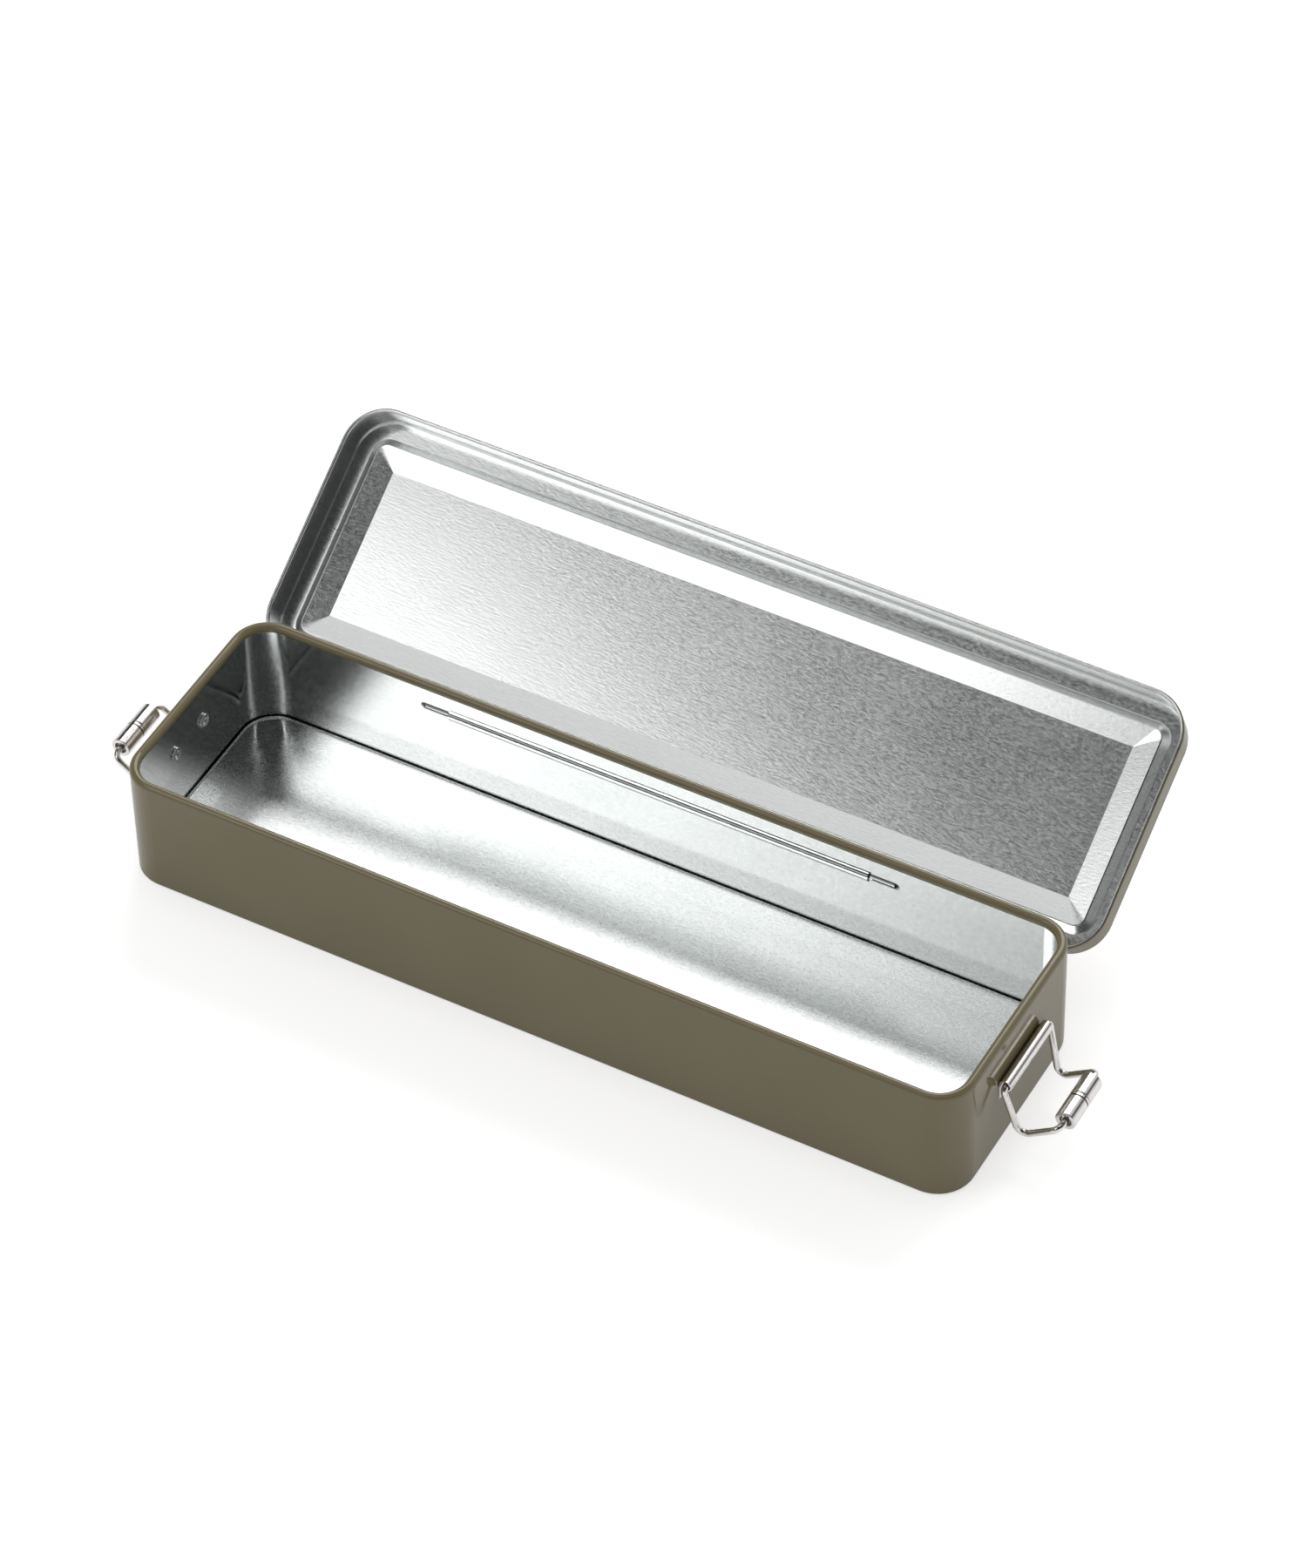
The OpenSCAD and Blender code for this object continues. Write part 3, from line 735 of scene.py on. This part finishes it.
def finish(name):
    """A finish made earlier; fails plainly if the finishes have not been made."""
    m = bpy.data.materials.get(name)
    if m is None:
        raise RuntimeError("make the finishes first: " + name + " is missing")
    return m


def ready(o, body, slot, *replaced):
    """Hands a finished piece to its body and hides the frame nodes it stands for; slot is not
    used.
    """
    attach(o, body)
    if replaced:
        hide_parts(*replaced)


# ---- pieces ----

def lid_ring(base, d, z, nd, nz, gap=None):
    """A ring d outside the lid's skirt or its recess; gap marks the tongue's place on it."""
    if base == "outer":
        return ring(LID["hx"] + d, LID["front"] - d, LID["rear"] + d, LID["r"] + d, z, nd, nz,
                    gap=gap)
    hx, hy, r = LID["rec_hx"] + d, LID["rec_hy"] + d, LID["rec_r"] + d
    return ring(hx, LID_Y - hy, LID_Y + hy, r, z, nd, nz, gap=gap)


def lid_face(b, inner, sizes, gap):
    """One side of the lid's sheet: crisp panel, bevel, rounded step and ledge. Its rear lines
    have points at +-gap, where the skirt is cut."""
    t, sgn = (0.0, -1) if inner else (BODY["sheet"], 1)
    lz, fz = LID["ledge_z"] + t, LID["ledge_z"] - LID["depth"] + t
    pz = fz + LID["rise"]
    phx = LID["rec_hx"] - LID["step"] - LID["bevel"]
    phy = LID["rec_hy"] - LID["step"] - LID["bevel"]
    b.flat([(x, LID_Y + y * phy, pz) for x, y in ((phx, 1), (phx, -1), (-phx, -1), (-phx, 1),
                                                  (-gap, 1), (gap, 1))], (0, 0, sgn))
    slope = math.atan2(LID["rise"], LID["bevel"])
    rows = [ring(phx, LID_Y - phy, LID_Y + phy, 0.0, pz, math.sin(slope) * sgn,
                 math.cos(slope) * sgn, gap=gap)]
    far = 40.0  # the path's ends, which are left out, only give its first and last direction
    path = [(-LID["step"] - far, fz + far * math.tan(slope), 0),
            (-LID["step"], fz, sizes.step_foot / MM), (0, lz, sizes.step_top / MM), (far, lz, 0)]
    run = outline(path, sgn, 7)[0][1:-1]
    rows += [lid_ring("recess", d, z, nd, nz, gap) for d, z, nd, nz in run]
    b.grid(rows, True)
    edge = LID["edge_r"] - (BODY["sheet"] if inner else 0)
    d0 = BODY["sheet"] - LID["edge_r"]
    b.grid([lid_ring("recess", run[-1][0], lz, 0, sgn, gap),
            lid_ring("outer", d0, lz, 0, sgn, gap)], True)
    return lz, edge


def build_lid(sizes):
    """The lid as one closed sheet, tin inside and enamel outside, curled along the skirt's edge
    and rolled into a knuckle where the tongue goes round the hinge wire."""
    b = Build()
    tin, coat = 0, 1
    tz, hz, h, sheet = LID["tongue_z"], LID["hem_z"], LID["hem"], BODY["sheet"]
    w, back_y = LID["tongue_hx"], LID["rear"]
    gap, bead = w + LID["notch"], h / 2
    lip = math.degrees(math.acos((sheet - bead) / bead))
    curl = (bead, hz + bead, bead)
    inside, outside = arc(*curl, 180, 300, 12), arc(*curl, 300, 360 + lip, 14)
    # lining: panel, ledge, rounded edge, skirt and the inner part of the curl
    lz, e = lid_face(b, True, sizes, gap)
    edge = arc(sheet - LID["edge_r"], lz - e, e, 90, 0, 7)
    b.grid([lid_ring("outer", d, z, -nx, -nz, gap) for d, z, nx, nz in edge]
           + [lid_ring("outer", 0, tz, -1, 0, gap)], True)
    b.grid([lid_ring("outer", 0, z, -1, 0, gap) for z in (tz, hz + bead)])
    b.grid([lid_ring("outer", d, z, nx, nz, gap) for d, z, nx, nz in inside])
    # skin: the same outside, down to where the curl's edge meets the skirt
    b.coat = coat
    lz, e = lid_face(b, False, sizes, gap)
    edge = arc(sheet - LID["edge_r"], lz - e, e, 90, 0, 8)
    b.grid([lid_ring("outer", d, z, nx, nz, gap) for d, z, nx, nz in edge]
           + [lid_ring("outer", sheet, tz, 1, 0, gap)], True)
    b.grid([lid_ring("outer", sheet, z, 1, 0, gap) for z in (tz, outside[-1][1])])
    b.grid([lid_ring("outer", d, z, nx, nz, gap) for d, z, nx, nz in outside])
    b.flat([(x, back_y + y, tz) for x, y in ((-gap, 0), (gap, 0), (gap, sheet), (-gap, sheet))],
           (0, 0, -1))
    section = [(0, tz)] + [(d, z) for d, z, _, _ in inside + outside] + [(sheet, tz)]
    for s in (-1, 1):
        b.flat([(s * gap, back_y + d, z) for d, z in section], (-s, 0, 0))
    # tongue and knuckle, rolled about the hinge line
    ri, ny, nz = HINGE["bore"], HINGE["y"], HINGE["z"]
    ro, rolled = ri + sheet, 264  # degrees that the sheet goes round the wire
    dy, drop, root = back_y - ny, tz - nz, tz + sheet
    a = math.degrees(math.atan2(drop, dy) - math.acos(ri / math.hypot(dy, drop)))
    roll, hole = (arc(ny, nz, r, a, a - rolled, 44, f) for r, f in ((ro, 1), (ri, -1)))
    ca, sa = math.cos(math.radians(a)), math.sin(math.radians(a))
    front = [(back_y, root, -ca, -sa), (ny + ri * ca, nz + ri * sa, -ca, -sa)]
    back = [(back_y + sheet, root, ca, sa), (ny + ro * ca, nz + ro * sa, ca, sa)]
    extrude_x(b, [roll, back], -w, w)
    for (y0, z0), (y1, z1), n in (((back_y, root), (back_y + sheet, root), (0, 0, 1)),
                                  (roll[-1][:2], hole[-1][:2], (0, 1, 0.5))):
        b.flat([(-w, y0, z0), (w, y0, z0), (w, y1, z1), (-w, y1, z1)], n)
    for s in (-1, 1):
        x = s * w
        b.grid([[((x, y, z), (s, 0, 0)) for y, z, _, _ in row] for row in (roll, hole)])
        b.flat([(x, y, z) for y, z, _, _ in front + back[::-1]], (s, 0, 0))
    b.coat = tin
    extrude_x(b, [hole, front], -w, w)
    o = b.make("lid_sheet", [finish("tinplate_of_lid"), finish("enamel_coat")], opened_matrix())
    ready(o, "lid", "tinplate", "lid")


def build_floor_pan(sizes):
    """Floor pan: an upturned edge with an open seam beside the wall, and a shallow dish."""
    gap, t, floor = sizes.seam_gap / MM, BODY["sheet"], 0.3
    hx, hy, r = BODY["l"] / 2 - t, BODY["w"] / 2 - t, BODY["r"] - t
    edge, lip = 2 * floor + sizes.pan_edge / MM, 0.13
    flange, step, dish = 0.33, 3.0, 9.0  # the pan lies on the wall's flange up to the step
    top = outline([(-gap, flange, 0), (-gap, edge, lip), (-gap - t, edge, lip),
                   (-gap - t, 0.6, 0.4), (-2.0, 0.55, 6.0), (-8.0, floor, 6.0),
                   (-dish, floor, 0)], -1, 7)
    under = outline([(-gap, flange, 0), (-step, flange, 0), (-step, 0.0, 0.12), (-dish, 0, 0)],
                    1, 5)
    o = swept("base_pan", top + under, [finish("tinplate_of_pan")],
              ((-dish, floor, 1), (-dish, 0.0, -1)),
              **{"Half Length": hx * MM, "Half Width": hy * MM, "Corner Radius": r * MM,
                 "Steps": 18})
    ready(o, "body", "tinplate", "base_panel")


def strip(b, path, t, y0, y1, side):
    """A sheet of thickness t along a path of (x, z, nx, nz), extruded along Y."""
    a = [(x + nx * t / 2, z + nz * t / 2, nx, nz) for x, z, nx, nz in path]
    c = [(x - nx * t / 2, z - nz * t / 2, -nx, -nz) for x, z, nx, nz in path]
    for run in (a, c):
        b.grid([[((side * x, y, z), (side * nx, 0, nz)) for x, z, nx, nz in run]
                for y in (y0, y1)])
    for y, s in ((y0, -1), (y1, 1)):
        b.grid([[((side * x, y, z), (0, s, 0)) for x, z, _, _ in run] for run in (a, c)])
    for i, j in ((0, 1), (-1, -2)):
        n = Vector((a[i][0] - a[j][0], 0, a[i][1] - a[j][1])).normalized()
        corners = (a[i], y0), (a[i], y1), (c[i], y1), (c[i], y0)
        b.flat([(side * p[0], y, p[1]) for p, y in corners], (side * n.x, 0, n.z))


def build_catch_plate(name, side, sizes):
    """Catch plate whose upper edge is rolled round into the bail's tube, with its seam below."""
    c = CATCH
    r, t = c["tube"] / 2 - c["plate"] / 2, c["plate"]
    bend, steps = 1.7, 7  # height of the easy bend from plate to tube, and its points
    x0 = BODY["l"] / 2 + t / 2
    path = [(x0, c["z"] - c["drop"], -1, 0), (x0, c["z"] - bend, -1, 0)]
    for i in range(1, steps):
        k = i / steps
        path.append((x0 + (c["x"] - r - x0) * k * k * (3 - 2 * k), c["z"] - bend + bend * k,
                     -1, 0.25 * math.sin(math.pi * k)))
    path += arc(c["x"], c["z"], r, 180, math.degrees(sizes.seam_angle), 46)
    b = Build()
    strip(b, path, t, -c["len"] / 2, c["len"] / 2, side)
    ready(b.make(name + "_plate_and_tube", [finish("nickel_plating")]), "body", "nickel",
          name + "_catch_plate")


def build_sleeve(name, side, way, sizes):
    """One roller sleeve: rounded ends and, outside, an open mouth round the wire."""
    c = CATCH
    y0, y1, r = c["y0"], c["y0"] + c["sleeve_l"], c["sleeve"] / 2
    mouth, deep = sizes.mouth / MM / 2, sizes.mouth_depth / MM
    runs = outline([(c["bore"], y0, 0), (r, y0, 0.22), (r, y1, 0.3), (mouth, y1, 0.28),
                    (mouth, y1 - deep, 0.3), (c["bore"], y1 - deep, 0), (c["bore"], y0, 0)], -1, 6)
    o = swept(name + "_shell", runs, [finish("nickel_plating")], Steps=sizes.turns,
              Turn=(-way * math.pi / 2, 0, 0),
              Centre=(side * c["roll_x"] * MM, 0, c["roll_z"] * MM))
    ready(o, name, "nickel", name)


def build_rivets(name, side, sizes):
    """Two tubular rivets: a domed head outside and a curled, slightly lobed end inside."""
    xo, xi = BODY["l"] / 2 + CATCH["plate"], BODY["l"] / 2 - BODY["sheet"]
    head_r, curl_r = sizes.rivet_head / MM / 2, sizes.rivet_curl / MM / 2
    shank, bore, tube, deep = 1.3, 0.68, 0.35, 0.5  # radii, and the depth of the hollow end
    head = outline([(head_r, xo, 0), (head_r, xo + 0.22, 0.18), (head_r * 0.6, xo + 0.62, 0.35),
                    (0, xo + 0.68, 0)], -1, 5)
    neck = [(head_r, xo, 0, -1), (shank, xo, 0, -1)], [(shank, xo, 1, 0), (shank, xi, 1, 0)]
    heel = [(shank, xi, 0, 1), (curl_r, xi, 0, 1)]
    curl = [(curl_r + tube * v, xi - tube + tube * u, v, u)
            for u, v, _, _ in arc(0, 0, 1, 0, 270, 18)]
    curl += [(0.95, xi - 0.2, -0.8, -0.6), (0.70, xi - 0.05, -1, 0), (bore, xi + deep, -1, 0)]
    floor = [(bore, xi + deep, 0, -1), (0, xi + deep, 0, -1)]
    half = CATCH["rivet_gap"] / 2
    o = swept(name + "_rivet_pair", head + [*neck, heel, curl, floor],
              [finish("nickel_plating")], Steps=48, Turn=(0, side * math.pi / 2, 0),
              Centre=(0, -half * MM, (CATCH["z"] - CATCH["rivet_drop"]) * MM),
              Lobes=6.0, Count=2, Pitch=(0, 2 * half * MM, 0),
              **{"Lobe Depth": 0.035, "Lobe From": 0.001})
    ready(o, "body", "nickel", name + "_rivets")


# ---- stage ----

CAM_POS = (0.592000, -0.992120, 1.256828)
CAM_AXES = ((0.875301, 0.483224, -0.018505), (-0.336301, 0.635775, 0.694760),
            (0.347490, -0.601901, 0.719004))
SOFTBOXES = (
    # name, place, aim, size, radiance
    ("front_fill", (-0.50, -1.27, 1.40), (0, 0, 0), (0.34, 0.34), 0.7),
    ("corner_box", (-0.18, -1.42, 1.40), (0, 0, 0), (0.16, 0.50), 1.6),
    ("right_strip", (1.42, 0.05, 1.45), (0, 0, 0), (0.10, 0.50), 1.6),
    ("top_box", (-0.45, 0.0, 1.50), (-0.45, 0, 0), (1.40, 0.60), 0.85),
    ("rear_right_box", (0.80, 1.15, 1.30), (0, 0, 0), (0.70, 0.90), 0.6),
)


def camera(lens):
    """The scene's camera, upright, on a frame of 36 by 30 mm."""
    cam = bpy.data.cameras.new("Camera")
    o = link("Camera", cam)
    m = Matrix([Vector(a) for a in CAM_AXES]).transposed().to_4x4()
    m.translation = Vector(CAM_POS)
    o.matrix_world = m
    cam.sensor_fit = "VERTICAL"
    cam.sensor_height = 36
    cam.sensor_width = 30
    cam.lens = lens
    cam.clip_end = 50
    bpy.context.scene.camera = o


def softbox(name, loc, target, size, radiance):
    """A rectangular lamp whose face has the given radiance."""
    lamp = bpy.data.lights.new(name, "AREA")
    lamp.shape = "RECTANGLE"
    lamp.size, lamp.size_y = size
    lamp.energy = radiance * math.pi * size[0] * size[1]
    o = link(name, lamp)
    o.location = loc
    o.rotation_euler = (Vector(target) - Vector(loc)).to_track_quat("-Z", "Y").to_euler()


# light that the paper gives off: beside the tin, growing to 1 from near to far, and in metal
PAPER_LIFT, PAPER_NEAR, PAPER_FAR, PAPER_IN_METAL = 0.56, 0.45, 1.3, 0.25


def floor_paper(color):
    """Pale matt paper, lifted to white for the camera but not in the tin's shadow."""
    s, shader, where = new_finish("floor_paper")
    shader["Base Color"].default_value = solid(color)
    shader["Roughness"].default_value = 0.9
    shader["Specular IOR Level"].default_value = 0.0
    shader["Emission Color"].default_value = (1, 1, 1, 1)
    ray = s.add("ShaderNodeLightPath").outputs
    seen = s.math("MAXIMUM", ray["Is Camera Ray"], ray["Is Transmission Ray"])
    mirrored = s.math("MULTIPLY", ray["Is Glossy Ray"], PAPER_IN_METAL)
    lift = s.range(s.length(where), PAPER_NEAR, PAPER_FAR, PAPER_LIFT, 1.0)
    s.put(shader["Emission Strength"], s.math("MULTIPLY_ADD", seen, lift, mirrored))
    return finish("floor_paper")


def studio_walls(ambient):
    """A pale wall round the horizon under a dark ceiling, and even light for matt surfaces."""
    sc = bpy.context.scene
    sc.world = sc.world or bpy.data.worlds.new("studio")
    sc.world.use_nodes = True
    s = Nodes(sc.world.node_tree)
    back = s.t.nodes.get("Background") or s.add("ShaderNodeBackground")
    back.inputs["Color"].default_value = (1, 1, 1, 1)
    part = s.add("ShaderNodeSeparateXYZ")
    s.put(part.inputs[0], s.add("ShaderNodeTexCoord").outputs["Generated"])
    wall = s.range(part.outputs[2], 0.20, 0.40, 0.75, 0.03)
    ray = s.add("ShaderNodeLightPath").outputs
    lit = s.math("MULTIPLY_ADD", ray["Is Diffuse Ray"], ambient, wall)
    s.put(back.inputs["Strength"], s.math("MAXIMUM", lit, ray["Is Camera Ray"]))


def build_stage(look):
    """Camera, floor, lamps and studio walls."""
    camera(look.lens)
    reach, drop = 6, -0.00005
    corners = (-1, -1), (1, -1), (1, 1), (-1, 1)
    data = bpy.data.meshes.new("floor")
    data.from_pydata([(x * reach, y * reach, drop) for x, y in corners], [], [(0, 1, 2, 3)])
    data.materials.append(floor_paper(look.floor))
    link("floor", data)
    softbox("front_box", (-0.855, -0.955, 1.412), (0, 0, 0), (0.67, 0.74), look.key)
    softbox("back_box", (-0.22, 1.48, 1.25), (0, 0.1, 0), (1.5, 1.0), look.back)
    for box in SOFTBOXES:
        softbox(*box)
    studio_walls(look.ambient)
    bpy.context.scene.view_settings.view_transform = "Standard"


# ---- operators and panel ----

class TIN_OT_finishes(bpy.types.Operator):
    """Make every finish and dress the frame's own nodes with them"""

    bl_idname = "pencil_tin.finishes"
    bl_label = "Make Finishes"

    def execute(self, context):
        colors = context.scene.tin_colors
        tinplate("tinplate_of_lid", colors, colors.lid_rough)
        tinplate("tinplate_of_pan", colors, colors.pan_rough)
        enamel("enamel_coat", colors)
        plated("nickel_plating", colors.nickel, colors.nickel_rough)
        plated("drawn_wire", colors.wire, colors.wire_rough)
        enamel_over_tinplate("enamel_over_tinplate", colors)
        own = {"body_wall": "enamel_over_tinplate", "base_panel": "tinplate_of_pan",
               "lid": "tinplate_of_lid", "hinge_wire": "drawn_wire"}
        for name, o in NODES.items():
            o.data.materials.clear()
            o.data.materials.append(finish(own.get(name, "nickel_plating")))
        return {"FINISHED"}


class TIN_OT_lid(bpy.types.Operator):
    """Build the lid's lining and skin, with its curl and its knuckle"""

    bl_idname = "pencil_tin.lid"
    bl_label = "Build Lid"

    def execute(self, context):
        build_lid(context.scene.tin_sizes)
        return {"FINISHED"}


class TIN_OT_floor_pan(bpy.types.Operator):
    """Build the floor pan with its open seam"""

    bl_idname = "pencil_tin.floor_pan"
    bl_label = "Build Floor Pan"

    def execute(self, context):
        build_floor_pan(context.scene.tin_sizes)
        return {"FINISHED"}


class TIN_OT_catch_plates(bpy.types.Operator):
    """Build the two catch plates with their rolled tubes"""

    bl_idname = "pencil_tin.catch_plates"
    bl_label = "Build Catch Plates"

    def execute(self, context):
        for name, side in SIDES.items():
            build_catch_plate(name, side, context.scene.tin_sizes)
        return {"FINISHED"}


class TIN_OT_rivets(bpy.types.Operator):
    """Build the four tubular rivets that hold the catch plates"""

    bl_idname = "pencil_tin.rivets"
    bl_label = "Build Rivets"

    def execute(self, context):
        for name, side in SIDES.items():
            build_rivets(name, side, context.scene.tin_sizes)
        return {"FINISHED"}


class TIN_OT_sleeves(bpy.types.Operator):
    """Build the four roller sleeves of the bails"""

    bl_idname = "pencil_tin.sleeves"
    bl_label = "Build Roller Sleeves"

    def execute(self, context):
        for name, side in SIDES.items():
            for end, way in ENDS.items():
                build_sleeve(f"{name}_{end}_sleeve", side, way, context.scene.tin_sizes)
        return {"FINISHED"}


class TIN_OT_stage(bpy.types.Operator):
    """Set the camera, the floor, the lights and the studio walls"""

    bl_idname = "pencil_tin.stage"
    bl_label = "Set Stage"

    def execute(self, context):
        build_stage(context.scene.tin_stage)
        return {"FINISHED"}


STEPS = (TIN_OT_finishes, TIN_OT_lid, TIN_OT_floor_pan, TIN_OT_catch_plates, TIN_OT_rivets,
         TIN_OT_sleeves, TIN_OT_stage)
SETTINGS = {"tin_sizes": TinSizes, "tin_colors": TinColors, "tin_stage": TinStage}


class TIN_PT_panel(bpy.types.Panel):
    """The tin's settings and build steps"""

    bl_idname = "TIN_PT_panel"
    bl_label = "Hinged Pencil Tin"
    bl_space_type = "VIEW_3D"
    bl_region_type = "UI"
    bl_category = "Tin"

    def draw(self, context):
        for name, kind in SETTINGS.items():
            box = self.layout.box()
            box.label(text=name.replace("_", " ").title())
            for prop in kind.__annotations__:
                box.prop(getattr(context.scene, name), prop)
        for step in STEPS:
            self.layout.operator(step.bl_idname)


def register():
    for c in (*SETTINGS.values(), *STEPS, TIN_PT_panel):
        bpy.utils.register_class(c)
    for name, kind in SETTINGS.items():
        setattr(bpy.types.Scene, name, PointerProperty(type=kind))


def unregister():
    for name in SETTINGS:
        delattr(bpy.types.Scene, name)
    for c in (TIN_PT_panel, *STEPS[::-1], *SETTINGS.values()):
        bpy.utils.unregister_class(c)


def main():
    for name in ("Cube", "Light", "Camera"):
        o = bpy.data.objects.get(name)
        if o and o.name not in NODES:
            bpy.data.objects.remove(o)
    register()
    for step in STEPS:
        group, call = step.bl_idname.split(".")
        getattr(getattr(bpy.ops, group), call)()


if __name__ == "__main__":
    main()
